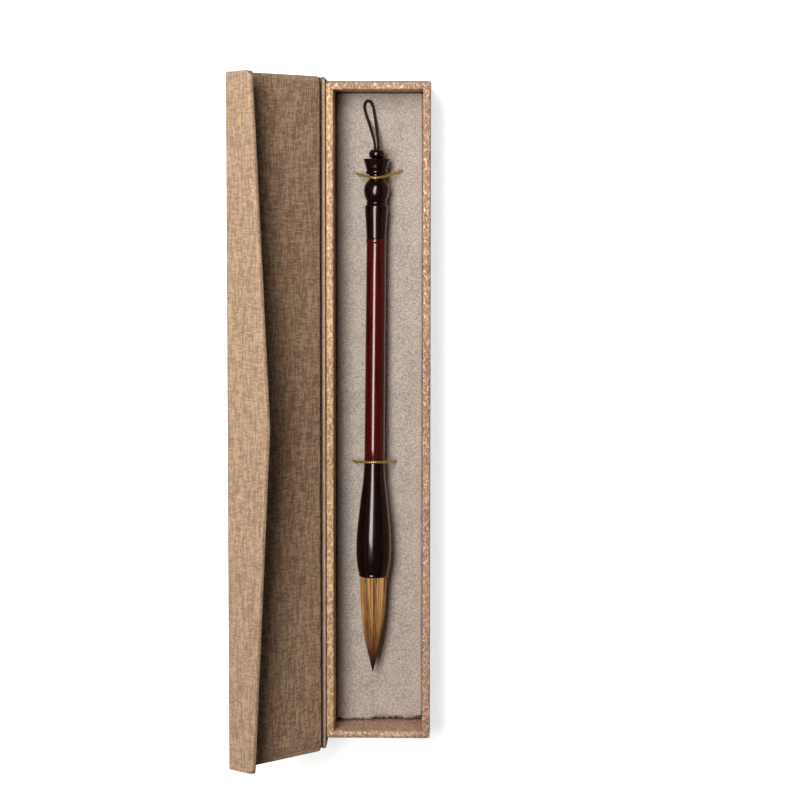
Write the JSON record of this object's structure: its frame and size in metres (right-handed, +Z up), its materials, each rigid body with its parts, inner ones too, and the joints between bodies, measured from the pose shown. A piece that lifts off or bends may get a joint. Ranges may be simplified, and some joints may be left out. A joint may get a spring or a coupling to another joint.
{
  "type": "calligraphy brush box",
  "caption": "Linen-covered book-style presentation box with a cloth-hinged lid and V-edged front flap, holding a calligraphy brush under elastics on a velvet bed.",
  "frame": {"origin": "centre of the base's underside", "axes": "+Z up, +Y along the box towards the head end, where the brush's hanging loop lies, -X the side that the lid opens to"},
  "size_m": [0.1008, 0.351, 0.1049],
  "materials": {
    "linen": "matt slub-weave linen, tan with darker threads",
    "lining_linen": "matt linen lining sheet with a frayed edge",
    "greyboard": "raw greyboard",
    "embossed_paper": "copper-gold paper with a crinkle emboss, satin",
    "label_paper": "matt off-white label paper with a thin grey frame line",
    "foam": "soft foam block",
    "velvet": "grey flocked velvet",
    "gold_elastic": "braided metallic gold elastic",
    "magnet": "nickel-plated disc",
    "dark_lacquer": "turned wood under gloss near-black lacquer",
    "red_lacquer": "turned wood under gloss dark red lacquer",
    "raw_wood": "plain dowel",
    "hair": "golden-brown animal hair, darker at the tip",
    "rosin": "set rosin glue",
    "loop_cord": "thin waxed cord"
  },
  "bodies": {
    "box": {"base_board": "greyboard", "base_linen": "linen", "spine_board": "greyboard", "spine_linen": "linen", "lid_hinge_cloth": "linen", "tray_floor": "greyboard", "tray_wall_foot": "greyboard", "tray_wall_head": "greyboard", "tray_wall_left": "greyboard", "tray_wall_right": "greyboard", "tray_paper_foot": "embossed_paper", "tray_paper_head": "embossed_paper", "tray_paper_left": "embossed_paper", "tray_paper_right": "embossed_paper", "tray_magnet": "magnet", "foam_pad": "foam", "velvet_cover": "velvet", "elastic_upper": "gold_elastic", "elastic_lower": "gold_elastic", "elastic_knots": "gold_elastic"},
    "lid": {"lid_board": "greyboard", "lid_linen": "linen", "lid_lining": "lining_linen", "label_card": "label_paper", "flap_hinge_cloth": "linen"},
    "flap": {"flap_board": "greyboard", "flap_linen": "linen", "flap_lining": "lining_linen", "flap_magnet": "magnet"},
    "brush": {"hair_tuft": "hair", "tuft_glue_plug": "rosin", "head_bulb": "dark_lacquer", "ferrule_ring": "dark_lacquer", "shaft": "red_lacquer", "shaft_ring": "red_lacquer", "end_cap": "dark_lacquer", "neck_ring": "dark_lacquer", "upper_bulb": "dark_lacquer", "waist_collar": "dark_lacquer", "crown_band": "dark_lacquer", "crown": "dark_lacquer", "finial_bead": "dark_lacquer", "top_dowel": "raw_wood", "loop_knot": "loop_cord", "hanging_loop": "loop_cord"}
  },
  "joints": [
    {"name": "lid_hinge", "type": "hinge", "parent": "box", "child": "lid", "pos_m": [-0.02925, 0, 0.04095], "axis": [0, -1, 0], "range_deg": [-134, 66], "deforming": ["lid_hinge_cloth"]},
    {"name": "flap_hinge", "type": "hinge", "parent": "lid", "child": "flap", "pos_m": [-0.07162, 0, 0.0849], "axis": [0, -1, 0], "range_deg": [0, 90], "deforming": ["flap_hinge_cloth"]},
    {"name": "brush_lift", "type": "slide", "parent": "box", "child": "brush", "axis": [0, 0, 1], "range_m": [0, 0.08], "deforming": ["elastic_upper", "elastic_lower"]}
  ]
}
